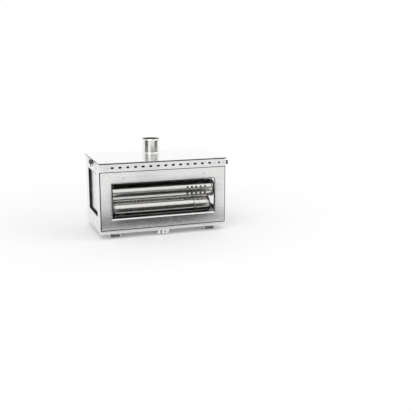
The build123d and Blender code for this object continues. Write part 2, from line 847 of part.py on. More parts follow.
with BuildPart() as latch_retaining_ring:
    with BuildSketch(Plane(origin=(cam_back_x, 0, 0), x_dir=(0, 1, 0), z_dir=(1, 0, 0))):
        with Locations((0, latch_height)):
            Circle(latch_shaft_radius + latch_ring_width)
            Circle(latch_shaft_radius, mode=Mode.SUBTRACT)
    extrude(amount=latch_ring_thickness)
finish(latch_retaining_ring.part, "latch_retaining_ring")

# Grate, with a riveted ledge on each side to carry it
grate_front = front_face + grate_front_gap
grate_back = back_inner - grate_back_gap


def grate_ledge(hand):
    """An angle whose shelf carries one end of the grate."""
    with BuildPart() as ledge:
        shelf_top = grate_height - grate_sheet
        ledge_front = grate_front + ledge_front_inset
        ledge_back = grate_back - ledge_back_inset
        leg = sorted((hand * side_inner, hand * (side_inner - sheet)))
        shelf = sorted((hand * side_inner, hand * (side_inner - ledge_shelf)))
        block((leg[0], ledge_front, shelf_top - ledge_leg), (leg[1], ledge_back, shelf_top))
        block((shelf[0], ledge_front, shelf_top - sheet), (shelf[1], ledge_back, shelf_top))
        pierce(right_wall if hand > 0 else left_wall, ledge_places, rivet_radius, 2 * sheet)
    return ledge.part


finish(grate_ledge(-1), "left_grate_ledge")
finish(grate_ledge(1), "right_grate_ledge")
finish(rivet_group(left_wall, ledge_places, 2 * sheet), "left_ledge_rivets")
finish(rivet_group(right_wall, ledge_places, 2 * sheet), "right_ledge_rivets")

with BuildPart() as wood_grate:
    grate_half = side_inner - sheet - grate_side_gap
    block((-grate_half, grate_front, grate_height - grate_sheet), (grate_half, grate_back, grate_height))
    with BuildSketch(Plane.XY.offset(grate_height)):
        with GridLocations(grate_column_pitch, grate_row_pitch, grate_columns, grate_rows):
            SlotOverall(grate_slot_length, grate_slot_width)
    extrude(amount=-grate_sheet, mode=Mode.SUBTRACT)
finish(wood_grate.part, "wood_grate")


# Flue sections stored in the firebox: two nested pairs below, and the spark arrestor on the front pair
def flue_section(left_gap, right_gap, outer, y, z, seam):
    """One rolled tube lying along X, with a crimped lock seam where it shows."""
    left = -side_inner + left_gap
    length = 2 * side_inner - left_gap - right_gap
    start = Plane(origin=(left, y, z), x_dir=(0, 1, 0), z_dir=(1, 0, 0))
    turn = 180 - seam_tilt
    outwards = (cos(radians(turn)), sin(radians(turn)))
    with BuildPart() as tube:
        with BuildSketch(start):
            Circle(outer)
            Circle(outer - section_wall, mode=Mode.SUBTRACT)
        extrude(amount=length)
        if seam:
            seam_middle = outer + (seam_proud - seam_bite) / 2
            seam_spot = (seam_middle * outwards[0], seam_middle * outwards[1], 0)
            with BuildSketch(start):
                with Locations(Location(seam_spot, turn)):
                    Rectangle(seam_proud + seam_bite, seam_width)
            extrude(amount=length)
            crimp_middle = outer + seam_proud + crimp_proud / 2
            crimp_spot = (crimp_middle * outwards[0], crimp_middle * outwards[1], 0)
            for index in range(int(length // crimp_pitch) - 1):
                with BuildSketch(start.offset(crimp_pitch * (index + 1))):
                    with Locations(Location(crimp_spot, turn)):
                        Rectangle(crimp_proud, crimp_width)
                extrude(amount=crimp_length)
    return tube.part


inner_radius = flue_radius - section_wall - section_slip
inner_z = section_z - section_slip + section_seat
rear_y = section_front_y + section_spacing
outer_gaps = (outer_left_gap, outer_right_gap)
inner_gaps = (inner_left_gap, inner_right_gap)
finish(flue_section(*outer_gaps, flue_radius, section_front_y, section_z, True), "front_flue_outer")
finish(flue_section(*inner_gaps, inner_radius, section_front_y, inner_z, False), "front_flue_inner")
finish(flue_section(*outer_gaps, flue_radius, rear_y, section_z, False), "rear_flue_outer")
finish(flue_section(*inner_gaps, inner_radius, rear_y, inner_z, False), "rear_flue_inner")

arrestor_gaps = (arrestor_left_gap, arrestor_right_gap)
with BuildPart() as spark_arrestor:
    add(flue_section(*arrestor_gaps, flue_radius, arrestor_y, arrestor_z, False))
    for row in range(vent_rows):
        turn = 180 - vent_tilt + row * 360 / vent_rows
        for column in range(vent_columns):
            spot = (arrestor_right_end - vent_setback + vent_pitch * column, arrestor_y, arrestor_z)
            with Locations(Location(spot, (turn, 0, 0)) * Location((0, flue_radius, 0), (90, 0, 0))):
                Cylinder(vent_radius, 4 * section_wall, mode=Mode.SUBTRACT)
finish(spark_arrestor.part, "spark_arrestor")

with BuildPart() as spark_arrestor_cap:
    cap_end = Plane(
        origin=(arrestor_right_end, arrestor_y, arrestor_z), x_dir=(0, 1, 0), z_dir=(1, 0, 0)
    )
    with BuildSketch(cap_end.offset(arrestor_cap_wall)):
        Circle(flue_radius + arrestor_cap_wall)
    extrude(amount=-arrestor_cap_length)
    with BuildSketch(cap_end):
        Circle(flue_radius)
    extrude(amount=-arrestor_cap_length, mode=Mode.SUBTRACT)
    fillet(spark_arrestor_cap.edges().filter_by(GeomType.CIRCLE).group_by(Axis.X)[-1], arrestor_cap_edge)
finish(spark_arrestor_cap.part, "spark_arrestor_cap")

# Primary air slide under the pan, with its two rails
with BuildPart() as primary_air_slide:
    block((-slide_half_width, slide_front + sheet, slide_bottom), (slide_half_width, slide_back, slide_top))
    for row_y in air_rows:
        with BuildSketch(Plane.XY.offset(slide_bottom)):
            with Locations((0, row_y)):
                SlotOverall(air_slot_length, air_slot_width)
        extrude(amount=sheet, mode=Mode.SUBTRACT)
    with BuildSketch(Plane(origin=(0, slide_front, 0), x_dir=(1, 0, 0), z_dir=(0, -1, 0))):
        with BuildLine():
            Polyline(
                (pull_x - pull_width / 2, slide_top),
                (pull_x + pull_width / 2 + pull_slant, slide_top),
                (pull_x + pull_width / 2, pull_bottom),
                (pull_x - pull_width / 2, pull_bottom),
                close=True,
            )
        make_face()
        with Locations((stop_tab_x, (slide_top + pull_bottom) / 2)):
            Rectangle(stop_tab_width, slide_top - pull_bottom)
        with Locations((pull_x, (slide_bottom + pull_bottom) / 2)):
            Circle(pull_hole_radius, mode=Mode.SUBTRACT)
    extrude(amount=-sheet)
finish(primary_air_slide.part, "primary_air_slide")

with BuildPart() as air_slide_rails:
    rail_inner = slide_half_width + slide_gap
    rail_outer = rail_inner + sheet
    rail_low = slide_bottom - slide_gap - sheet
    rail_front = slide_front + rail_setback
    rail_back = slide_back + slide_travel
    for hand in (-1, 1):
        web = sorted((hand * rail_inner, hand * rail_outer))
        foot = sorted((hand * rail_inner, hand * (rail_outer + rail_foot)))
        lip = sorted((hand * (rail_inner - rail_lip), hand * rail_outer))
        block((web[0], rail_front, rail_low), (web[1], rail_back, ground_clearance))
        block((foot[0], rail_front, ground_clearance - sheet), (foot[1], rail_back, ground_clearance))
        block((lip[0], rail_front, rail_low), (lip[1], rail_back, rail_low + sheet))
finish(air_slide_rails.part, "air_slide_rails")


# Folding legs: channels that lie under the pan and swing down on pins
def folding_leg(side, end):
    """One leg, pivoted near the stove's front or back end and lying towards the middle."""
    far_y = end * leg_middle_gap
    near_y = end * (leg_middle_gap + leg_length)
    middle_x = side * leg_x
    half = leg_width / 2
    low_y, high_y = min(far_y, near_y), max(far_y, near_y)
    with BuildPart() as leg:
        block((middle_x - half, low_y, 0), (middle_x + half, high_y, leg_height))
        near_edge = leg.edges().filter_by(Axis.X).group_by(Axis.Z)[-1].sort_by(Axis.Y)[-1 if end > 0 else 0]
        fillet(near_edge, leg_end_radius)
        core = sorted((far_y + end * sheet, near_y + end * cut_over))
        block(
            (middle_x - half + sheet, core[0], sheet),
            (middle_x + half - sheet, core[1], leg_height),
            Mode.SUBTRACT,
        )
        with Locations(Location((middle_x, end * leg_pivot_y, leg_pivot_z), (0, 90, 0))):
            Cylinder(leg_pin_radius + leg_pin_clearance, leg_width + 2 * cut_over, mode=Mode.SUBTRACT)
        with BuildSketch(Plane.XY):
            with Locations((middle_x, end * (leg_middle_gap + leg_hole_middle))):
                SlotOverall(leg_hole_length, leg_hole_width, rotation=90)
        extrude(amount=sheet, mode=Mode.SUBTRACT)
    return leg.part


leg_spots = [
    ("front_left_leg", -1, -1),
    ("front_right_leg", 1, -1),
    ("back_left_leg", -1, 1),
    ("back_right_leg", 1, 1),
]
for leg_name, side, end in leg_spots:
    finish(folding_leg(side, end), leg_name)

ear_inner = leg_width / 2 + bracket_gap
ear_outer = ear_inner + bracket_sheet
with BuildPart() as leg_brackets:
    for leg_name, side, end in leg_spots:
        middle_x = side * leg_x
        middle_y = end * leg_pivot_y
        low_y, high_y = middle_y - bracket_length / 2, middle_y + bracket_length / 2
        block((middle_x - ear_outer, low_y, bracket_bottom), (middle_x + ear_outer, high_y, ground_clearance))
        block(
            (middle_x - ear_inner, low_y, bracket_bottom),
            (middle_x + ear_inner, high_y, ground_clearance - bracket_sheet),
            Mode.SUBTRACT,
        )
        with Locations(Location((middle_x, middle_y, leg_pivot_z), (0, 90, 0))):
            Cylinder(leg_pin_radius, 2 * ear_outer + 2 * cut_over, mode=Mode.SUBTRACT)
finish(leg_brackets.part, "leg_brackets")

with BuildPart() as leg_pins:
    for leg_name, side, end in leg_spots:
        with Locations(Location((side * leg_x, end * leg_pivot_y, leg_pivot_z), (0, 90, 0))):
            Cylinder(leg_pin_radius, 2 * ear_outer)
        for head_side in (-1, 1):
            head_x = side * leg_x + head_side * (ear_outer + leg_pin_head / 2)
            with Locations(Location((head_x, end * leg_pivot_y, leg_pivot_z), (0, 90, 0))):
                Cylinder(leg_pin_head_radius, leg_pin_head)
finish(leg_pins.part, "leg_pins")
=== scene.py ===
"""Dresses a portable stainless wood stove: sheet panels, flue parts, glazing, seals, latch and legs."""

import json
from math import atan2, cos, pi, radians, sin, tau

import bmesh
import bpy
from bpy.props import FloatProperty, FloatVectorProperty, IntProperty, PointerProperty
from mathutils import Matrix, Vector


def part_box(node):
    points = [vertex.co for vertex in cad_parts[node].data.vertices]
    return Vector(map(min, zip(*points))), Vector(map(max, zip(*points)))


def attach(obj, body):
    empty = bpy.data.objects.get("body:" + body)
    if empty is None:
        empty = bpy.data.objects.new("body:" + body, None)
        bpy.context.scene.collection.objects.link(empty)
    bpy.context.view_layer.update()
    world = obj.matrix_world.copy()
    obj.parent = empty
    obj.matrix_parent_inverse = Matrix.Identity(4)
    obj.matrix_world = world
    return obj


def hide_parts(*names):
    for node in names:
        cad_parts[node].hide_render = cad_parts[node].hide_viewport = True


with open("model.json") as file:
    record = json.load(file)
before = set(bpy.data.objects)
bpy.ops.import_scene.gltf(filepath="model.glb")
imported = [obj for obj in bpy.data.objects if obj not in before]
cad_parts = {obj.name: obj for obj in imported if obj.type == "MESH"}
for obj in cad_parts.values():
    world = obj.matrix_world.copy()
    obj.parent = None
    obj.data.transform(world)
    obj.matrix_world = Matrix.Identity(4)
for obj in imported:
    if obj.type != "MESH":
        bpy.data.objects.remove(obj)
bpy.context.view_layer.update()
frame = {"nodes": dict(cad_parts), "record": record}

bl_info = {
    "name": "Portable wood stove",
    "version": (1, 0, 0),
    "blender": (4, 5, 0),
    "location": "View3D > Sidebar > Stove",
    "description": "Builds the visible pieces and finishes of a small stainless wood stove",
    "category": "Object",
}

MM = 0.001
WHITE = (1.0, 1.0, 1.0, 1.0)
MERGE_DISTANCE = 0.002 * MM
SPIN_MERGE_DISTANCE = 0.001 * MM
CELL_MERGE_DISTANCE = 0.02 * MM
RIM_TOLERANCE = 0.05 * MM
INWARD_FACING = -0.3
FLAT_ANGLE = radians(0.5)
SHARP_ANGLE = radians(38)
SOFTENED_ANGLE = radians(50)
STRIP_SOFTNESS = 0.3 * MM
STRIP_STEPS = 2
FLAT_WEIGHT = 90
FLOOR_REACH = 14.0
SENSOR_WIDTH = 36.0
SLOT_OF = {part["node"]: part["material_slot"] for part in frame["record"]["subparts"]}
BODY_OF = {
    node: body
    for body, nodes in frame["record"]["behaviour"]["bodies"].items()
    for node in nodes
}


# Sizes, colours and stage settings that a user would change

def metres(name, description, default, **limits):
    """A setting that is a length."""
    return FloatProperty(name=name, description=description, default=default, unit="LENGTH", **limits)


def degrees(name, description, default):
    """A setting that is an angle, whose default is given in degrees."""
    return FloatProperty(
        name=name, description=description, default=radians(default), subtype="ANGLE",
    )


def watts(name, description, default):
    """A setting that is a lamp's power."""
    return FloatProperty(name=name, description=description, default=default, unit="POWER")


def tint(name, description, default):
    """A setting that is a colour."""
    return FloatVectorProperty(
        name=name, description=description, default=default, subtype="COLOR",
    )


def point(name, description, default):
    """A setting that is a place."""
    return FloatVectorProperty(
        name=name, description=description, default=default, subtype="TRANSLATION", precision=4,
    )


class StoveSizes(bpy.types.PropertyGroup):
    """Small shapes that soften the sheet metal and the tubes."""

    edge_softness: metres("Edge softness", "Width of the rounding on cut sheet edges", 0.28 * MM, min=0.0)
    edge_steps: IntProperty(
        name="Edge steps", description="Segments across each rounded edge", default=2, min=1,
    )
    tube_sides: IntProperty(
        name="Tube sides", description="Facets round each flue tube", default=96, min=24,
    )
    sheet: metres("Sheet", "Thickness of the folded panels", 1.5 * MM)
    tube_wall: metres("Tube wall", "Sheet thickness of the stored flue sections", 0.8 * MM)
    collar_radius: metres("Collar bore", "Inner radius of the flue collar", 30 * MM)
    collar_wall: metres("Collar wall", "Sheet thickness of the flue collar", 1.2 * MM)
    collar_bead: metres("Collar bead", "How proud the collar's rolled rim stands", 0.7 * MM)
    groove_depth: metres("Groove depth", "Depth of the rolled groove near each tube end", 0.6 * MM)
    groove_inset: metres("Groove inset", "How far the rolled groove lies from the tube end", 3.0 * MM)
    seam_width: metres("Seam width", "Width of the flue section's folded lock seam", 7.0 * MM)
    seam_proud: metres("Seam height", "How proud the lock seam stands", 0.9 * MM)
    seam_turn: degrees("Seam turn", "Where the lock seam lies round the tube", 118)
    lap_turn: degrees("Lap turn", "From the lock seam round to the edge of its lap", 20)
    crimp_pitch: metres("Crimp pitch", "Distance between the crimps of the lock seam", 13.5 * MM)
    crimp_length: metres("Crimp length", "Length of one crimp", 8.0 * MM)
    crimp_rise: metres("Crimp rise", "How far a crimp swells out of the lock seam", 1.5 * MM)
    vent_radius: metres("Vent radius", "Radius of the spark arrestor's round vents", 3.5 * MM)
    vent_pitch: metres("Vent pitch", "Distance between vents along the spark arrestor", 16.0 * MM)
    vent_setback: metres(
        "Vent setback", "From the arrestor's capped end to its farthest vents", 98.0 * MM,
    )
    vent_columns: IntProperty(
        name="Vent columns", description="Vents along the spark arrestor", default=5, min=1,
    )
    vent_rows: IntProperty(
        name="Vent rows", description="Rows of vents round the spark arrestor", default=8, min=3,
    )
    vent_turn: degrees("Vent turn", "Where the first row of vents lies round the tube", 159)


class StoveColours(bpy.types.PropertyGroup):
    """Base colours of the finishes."""

    polished: tint("Polished sheet", "Bright outer sheet", (0.87, 0.87, 0.86))
    plate: tint("Cooktop", "Mirror-bright cooktop plate", (0.92, 0.92, 0.91))
    flue: tint("Flue", "Thin rolled flue sheet", (0.92, 0.91, 0.88))
    # painted shade: the inner sheet is given a dark colour that stands in for the shade inside the firebox
    inner: tint("Inner sheet", "Heat-dulled satin sheet inside the firebox", (0.30, 0.29, 0.28))
    # painted shade: a dark colour on the cooktop's cut edge, deepening the dark line under the plate
    plate_edge_shade: tint("Cut edges", "Dull edge that the cutter leaves on the cooktop", (0.16, 0.16, 0.165))
    # painted shade: a near-black colour on the firebox's inner faces and in the flue bores, standing in
    # for the shade inside
    interior_shade: tint("Heated walls", "Inside faces of the firebox, darkened by heat", (0.060, 0.056, 0.052))
    fastener: tint("Fasteners", "Turned rivets and pins", (0.72, 0.72, 0.71))
    coating: tint(
        "Dark coating", "Heat-proof coating on the knob and the finger tab", (0.050, 0.050, 0.053),
    )
    tape: tint("Sealing tape", "Woven sealing tape", (0.020, 0.020, 0.021))
    glass: tint("Glass", "Faint mirror of the clean glass", (0.34, 0.35, 0.35))
    wiped_glass: tint(
        "Wiped glass", "Faint mirror of the glass where a cloth left traces", (0.46, 0.46, 0.45),
    )
    floor: tint("Floor", "Plain studio floor", (0.95, 0.95, 0.95))
    card: tint("Cards", "Dark cards that only reflections show", (0.05, 0.05, 0.052))


class StoveStage(bpy.types.PropertyGroup):
    """Camera, lamps, floor, and the dark cards that only the steel's reflections show."""

    eye: point("Camera place", "Where the camera stands", (-0.6313, -2.2538, 0.6177))
    yaw: degrees("Yaw", "Camera heading, from +Y towards +X", 20.32)
    pitch: degrees("Pitch", "Camera tilt below the horizon", 13.23)
    roll: degrees("Roll", "Camera roll", 0.36)
    lens: FloatProperty(name="Lens", description="Focal length in millimetres", default=57.5)
    key_power: watts("Key lamp", "Power of the large front lamp", 38.0)
    key_size: metres("Key lamp size", "Width of the large front lamp", 2.6)
    key_place: point("Key lamp place", "Where the large front lamp hangs", (-1.6, -2.6, 3.0))
    fill_power: watts("Fill lamp", "Power of the side lamp", 16.0)
    fill_size: metres("Fill lamp size", "Width of the side lamp", 2.2)
    fill_place: point("Fill lamp place", "Where the side lamp hangs", (2.6, -1.4, 2.2))
    room_light: FloatProperty(
        name="Room light", description="Strength of the room on matt surfaces", default=0.86,
    )
    side_card_distance: metres(
        "Side card distance", "How far the left and right cards stand from the stove", 1.05,
    )
    side_card_height: metres("Side card height", "Height of the left and right cards", 0.55)
    left_card_turn: degrees("Left card turn", "Where the left card stands, from the camera's heading", -58)
    left_card_width: metres("Left card width", "Width of the left card", 1.02)
    right_card_turn: degrees(
        "Right card turn", "Where the right card stands, from the camera's heading", 82,
    )
    right_card_width: metres("Right card width", "Width of the right card", 0.93)
    far_card_distance: metres(
        "Far card", "How far in front of the stove's middle the far card stands", 1.20,
    )
    far_card_foot: metres("Far card foot", "Height of the far card's lower edge", 0.22)
    far_card_top: metres("Far card top", "Height of the far card's upper edge", 0.52)
    far_card_middle: metres(
        "Far card middle", "How far right of the stove's middle the far card is centred", 0.38,
    )
    far_card_width: metres("Far card width", "Width of the far card", 1.8)
    window_card_distance: metres(
        "Window card", "How far in front of the stove's middle the window card stands", 0.27,
    )
    window_card_foot: metres("Window card foot", "Height of the window card's lower edge", 0.03)
    window_card_top: metres("Window card top", "Height of the window card's upper edge", 0.152)
    window_card_middle: metres(
        "Window card middle", "How far right of the stove's middle the window card is centred", 0.043,
    )
    window_card_width: metres("Window card width", "Width of the window card", 0.365)
    front_card_near: metres("Front card near edge", "Where the low card in front begins", 0.235)
    front_card_start: metres("Front card start", "Where the low card in front starts to fade", 0.34)
    front_card_reach: metres("Front card reach", "Where the low card in front has faded out", 0.62)
    front_card_width: metres("Front card width", "Width of the low card in front", 1.1)
    front_card_clear: metres(
        "Front card clear from", "Where the low card has faded out towards its right end", 0.46,
    )
    front_card_full: metres(
        "Front card full to", "Where the low card starts to fade towards its right end", 0.16,
    )
    floor_glow: FloatProperty(
        name="Floor glow", description="Share of plain white in the floor near the stove",
        default=0.10, min=0.0, max=1.0,
    )
    fade_start: metres("Fade start", "Where the floor starts to turn to plain white", 0.40)
    fade_end: metres("Fade end", "Where the floor has turned to plain white", 1.1)


# Shader maths as expressions

class Wire:
    """One output socket, with arithmetic that adds Math nodes."""

    def __init__(self, graph, socket):
        self.graph = graph
        self.socket = socket

    def _math(self, operation, first, second):
        return self.graph.add("ShaderNodeMath", {"operation": operation}, {0: first, 1: second})

    def __add__(self, other):
        return self._math("ADD", self, other)

    def __radd__(self, other):
        return self._math("ADD", other, self)

    def __sub__(self, other):
        return self._math("SUBTRACT", self, other)

    def __rsub__(self, other):
        return self._math("SUBTRACT", other, self)

    def __mul__(self, other):
        return self._math("MULTIPLY", self, other)

    def __rmul__(self, other):
        return self._math("MULTIPLY", other, self)


class Graph:
    """A node tree, emptied, whose new nodes come from one method."""

    def __init__(self, tree):
        self.tree = tree
        tree.nodes.clear()

    def feed(self, node, socket, value):
        """Links a wire to a socket, or sets a plain value on it."""
        if isinstance(value, Wire):
            self.tree.links.new(value.socket, node.inputs[socket])
        else:
            node.inputs[socket].default_value = value

    def add(self, kind, settings, values, output=0):
        """Adds a node: its settings first, then the values or links of its sockets."""
        node = self.tree.nodes.new(kind)
        for setting, value in settings.items():
            setattr(node, setting, value)
        for socket, value in values.items():
            self.feed(node, socket, value)
        return Wire(self, node.outputs[output])

    def most(self, first, second):
        """The larger of two values."""
        return self.add("ShaderNodeMath", {"operation": "MAXIMUM"}, {0: first, 1: second})

    def shown(self):
        """1 where the camera looks, straight or by way of a bright or a clear surface, and 0 elsewhere."""
        rays = [
            self.add("ShaderNodeLightPath", {}, {}, ray)
            for ray in ("Is Camera Ray", "Is Glossy Ray", "Is Transmission Ray")
        ]
        return self.most(self.most(rays[0], rays[1]), rays[2])


class Finish(Graph):
    """A procedural material: one Principled shader and the nodes that feed it."""

    def __init__(self, name, **constants):
        self.material = bpy.data.materials.new(name)
        self.material.use_nodes = True
        super().__init__(self.material.node_tree)
        self.shader = self.tree.nodes.new("ShaderNodeBsdfPrincipled")
        self.output = self.tree.nodes.new("ShaderNodeOutputMaterial")
        self.tree.links.new(self.shader.outputs["BSDF"], self.output.inputs["Surface"])
        for socket, value in constants.items():
            self.feed(self.shader, socket.replace("_", " "), value)
        self.place = self.add("ShaderNodeTexCoord", {}, {}, "Object")

    def noise(self, scale, detail=3.0, stretch=(1, 1, 1), rough=0.5, warp=0.0):
        """Noise on object coordinates, stretched per axis, from 0 to 1."""
        spot = self.add(
            "ShaderNodeMapping", {"vector_type": "POINT"}, {"Vector": self.place, "Scale": stretch},
        )
        return self.add(
            "ShaderNodeTexNoise", {},
            {"Vector": spot, "Scale": scale, "Detail": detail, "Roughness": rough, "Distortion": warp},
        )

    def step(self, value, low, high):
        """A smooth step of a wire from 0 below low to 1 above high."""
        return self.add(
            "ShaderNodeMapRange", {"interpolation_type": "SMOOTHSTEP"},
            {"Value": value, "From Min": low, "From Max": high},
        )

    def within(self, low, high, soft=0.2 * MM):
        """1 inside a box on object coordinates and 0 outside, softened across its faces."""
        middle = [(a + b) / 2 for a, b in zip(low, high)]
        half = [(b - a) / 2 for a, b in zip(low, high)]
        shifted = self.add(
            "ShaderNodeVectorMath", {"operation": "SUBTRACT"}, {0: self.place, 1: middle},
        )
        away = self.add("ShaderNodeVectorMath", {"operation": "ABSOLUTE"}, {0: shifted})
        beyond = self.add("ShaderNodeVectorMath", {"operation": "SUBTRACT"}, {0: away, 1: half})
        axes = [self.add("ShaderNodeSeparateXYZ", {}, {0: beyond}, axis) for axis in "XYZ"]
        return self.step(self.most(self.most(axes[0], axes[1]), axes[2]), soft, -soft)

    def blend(self, factor, first, second):
        """A colour mixed between two colours."""
        return self.add("ShaderNodeMix", {"data_type": "RGBA"}, {0: factor, 6: first, 7: second}, 2)

    def bump(self, height, distance, strength, under=None):
        """A Bump node over an optional bump below it."""
        values = {"Height": height, "Distance": distance, "Strength": strength}
        if under is not None:
            values["Normal"] = under
        return self.add("ShaderNodeBump", {}, values)

    def set(self, **wires):
        """Feeds the shader's own sockets."""
        for socket, value in wires.items():
            self.feed(self.shader, socket.replace("_", " "), value)
        return self.material


def shade(colour, amount):
    """A colour made darker or lighter, as four numbers."""
    return (*[min(1.0, channel * amount) for channel in colour], 1.0)


GLASS_OVERLAP = 8 * MM
LINER_MARGIN = 4.5 * MM
RECESS_REACH = 10 * MM
GRAIN = {"x": (1, 60, 60), "y": (60, 1, 60), "z": (60, 60, 1)}


def interior_shade_part(finish):
    """Where shade is painted: 1 on the firebox's inner faces, and 0 on the outside and in the recesses."""
    sheet = bpy.context.scene.stove_sizes.sheet
    left, front, bottom = (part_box(node)[0] for node in ("left_side_panel", "front_panel", "bottom_pan"))
    right, back = (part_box(node)[1] for node in ("right_side_panel", "back_panel"))
    low = Vector((left.x, front.y, bottom.z))
    high = Vector((right.x, back.y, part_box("cooktop_plate")[0].z))
    # the outer half of each sheet stays bright, and the painted shade covers the cooktop's underside too
    skin = Vector((sheet / 2, sheet / 4, sheet / 2))
    inside = finish.within(low + skin, high + Vector((-sheet / 2, -sheet / 2, sheet / 2)))
    for pane in ("front_glass", "right_glass", "door_liner"):
        pane_low, pane_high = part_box(pane)
        inset = -LINER_MARGIN if pane == "door_liner" else GLASS_OVERLAP - sheet / 2
        margin = Vector((inset, inset, inset))
        near, far = pane_low + margin, pane_high - margin
        if pane == "front_glass":
            near.y, far.y = low.y - RECESS_REACH, pane_low.y
        elif pane == "right_glass":
            near.x, far.x = pane_low.x, high.x + RECESS_REACH
        else:
            near.x, far.x = low.x - RECESS_REACH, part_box("loading_door")[1].x
        inside = inside * (1 - finish.within(near, far))
    return inside


def steel_finish(
    name, colour, roughness, along, streaks=0.16, smudges=0.04, wave=0.10, grain=0.12,
    interior_shade=None, plate_edge_shade=None,
):
    """Rolled stainless: fine grain one way, broad streaks, wiped smudges and a slight sheet wave, with
    optional painted shade inside the firebox and on the cooktop's cut edge.
    """
    finish = Finish(name, Metallic=1.0, Roughness=roughness)
    fine = finish.noise(34.0, detail=4.0, stretch=GRAIN[along], rough=0.6)
    broad = finish.noise(4.2, detail=2.0, stretch=GRAIN[along])
    cloud = finish.noise(9.0, detail=4.0, rough=0.6, warp=0.4)
    wiped = finish.step(cloud, 0.50, 0.68)
    wavy = finish.noise(7.0, detail=1.0)
    tone = finish.blend(broad * streaks + wiped * 0.05, shade(colour, 1.03), shade(colour, 0.62))
    rough = roughness + (fine - 0.5) * 0.12 + (broad - 0.5) * 0.10 + wiped * smudges
    if interior_shade is not None:
        # painted shade: the firebox's inner faces get a near-black colour and a little more roughness
        inside = interior_shade_part(finish)
        dull = finish.blend(broad * 0.6 + cloud * 0.4, shade(interior_shade, 0.7), shade(interior_shade, 1.6))
        tone = finish.blend(inside, tone, dull)
        rough = rough + inside * 0.12
    if plate_edge_shade is not None:
        # painted shade: the plate's cut edge is painted dark, deepening the dark line under the plate; the
        # fine streaks along it stand for cut marks
        low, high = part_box("cooktop_plate")
        inset = Vector((0.35 * MM, 0.35 * MM, -1.0))
        edge = 1 - finish.within(low + inset, high - inset, soft=0.15 * MM)
        edge_streaks = finish.noise(240.0, detail=2.0, stretch=(1, 1, 0.2))
        tone = finish.blend(edge, tone, finish.blend(edge_streaks, shade(plate_edge_shade, 0.8), shade(plate_edge_shade, 1.3)))
        rough = rough + edge * 0.28
    sheet = finish.bump(wavy, 0.6 * MM, wave)
    brushed = finish.bump(fine, 0.05 * MM, grain, sheet)
    return finish.set(Base_Color=tone, Roughness=rough, Normal=brushed)


def flue_finish(colour, interior_shade, along):
    """Thin rolled flue sheet: draw lines along the tube, and painted shade on the faces marked as bore."""
    finish = Finish(f"flue_sheet_{along}", Metallic=1.0)
    draw = finish.noise(30.0, detail=4.0, stretch=GRAIN[along], rough=0.6)
    broad = finish.noise(5.0, detail=2.0, stretch=GRAIN[along])
    cloud = finish.noise(12.0, detail=4.0, rough=0.6, warp=0.4)
    bore = finish.add("ShaderNodeAttribute", {"attribute_name": "bore"}, {}, "Fac")
    tone = finish.blend(
        broad * 0.30 + finish.step(cloud, 0.5, 0.7) * 0.06, shade(colour, 1.04), shade(colour, 0.6),
    )
    # painted shade: faces marked as bore take a near-black colour
    dull = finish.blend(cloud, shade(interior_shade, 0.7), shade(interior_shade, 1.5))
    rough = 0.17 + (draw - 0.5) * 0.10 + cloud * 0.06 + bore * 0.16
    sheet = finish.bump(finish.noise(9.0, detail=1.0), 0.6 * MM, 0.25)
    return finish.set(
        Base_Color=finish.blend(bore, tone, dull), Roughness=rough,
        Normal=finish.bump(draw, 0.05 * MM, 0.12, sheet),
    )


def fastener_finish(colour):
    """Turned rivets and pins: fine tool marks and patches of wear."""
    finish = Finish("turned_fasteners", Metallic=1.0)
    marks = finish.noise(900.0)
    wear = finish.noise(160.0)
    tone = finish.blend(wear, shade(colour, 1.05), shade(colour, 0.72))
    return finish.set(
        Base_Color=tone, Roughness=0.24 + marks * 0.22, Normal=finish.bump(marks, 0.05 * MM, 0.2),
    )


def coating_finish(colour):
    """Heat-proof dark coating with a fine pebble and rubbed high spots."""
    finish = Finish("dark_coating")
    pebble = finish.noise(1400.0, detail=2.0)
    rubbed = finish.step(finish.noise(140.0, detail=4.0, rough=0.7), 0.58, 0.72)
    tone = finish.blend(rubbed * 0.5, shade(colour, 1.0), shade(colour, 2.6))
    return finish.set(
        Base_Color=tone, Roughness=0.52 - rubbed * 0.16 + pebble * 0.10,
        Normal=finish.bump(pebble, 0.08 * MM, 0.35),
    )


def tape_finish(colour):
    """Woven glass-fibre tape: crossed threads with loose fibres."""
    finish = Finish("woven_tape")
    finish.shader.inputs["Specular IOR Level"].default_value = 0.2
    threads = [
        finish.add(
            "ShaderNodeTexWave", {"bands_direction": axis, "wave_profile": "SIN"},
            {"Vector": finish.place, "Scale": 210.0, "Distortion": 1.2, "Detail": 2.0}, 1,
        )
        for axis in ("X", "Y", "Z")
    ]
    weave = (threads[0] + threads[1] + threads[2]) * 0.333
    fluff = finish.noise(500.0, detail=4.0)
    tone = finish.blend(weave * 0.55 + fluff * 0.45, shade(colour, 0.45), shade(colour, 2.1))
    return finish.set(
        Base_Color=tone, Roughness=0.82 + fluff * 0.15, Normal=finish.bump(weave, 0.25 * MM, 0.7),
    )


def glass_finish(clean, wiped):
    """Clear flat glass: a faint mirror with wiped traces."""
    finish = Finish("stove_glass", Metallic=1.0, Alpha=0.04)
    haze = finish.step(finish.noise(14.0, detail=4.0, rough=0.6, warp=0.8), 0.55, 0.8)
    tone = finish.blend(haze, shade(clean, 1.0), shade(wiped, 1.0))
    return finish.set(Base_Color=tone, Roughness=0.03 + haze * 0.12)


finishes = {}


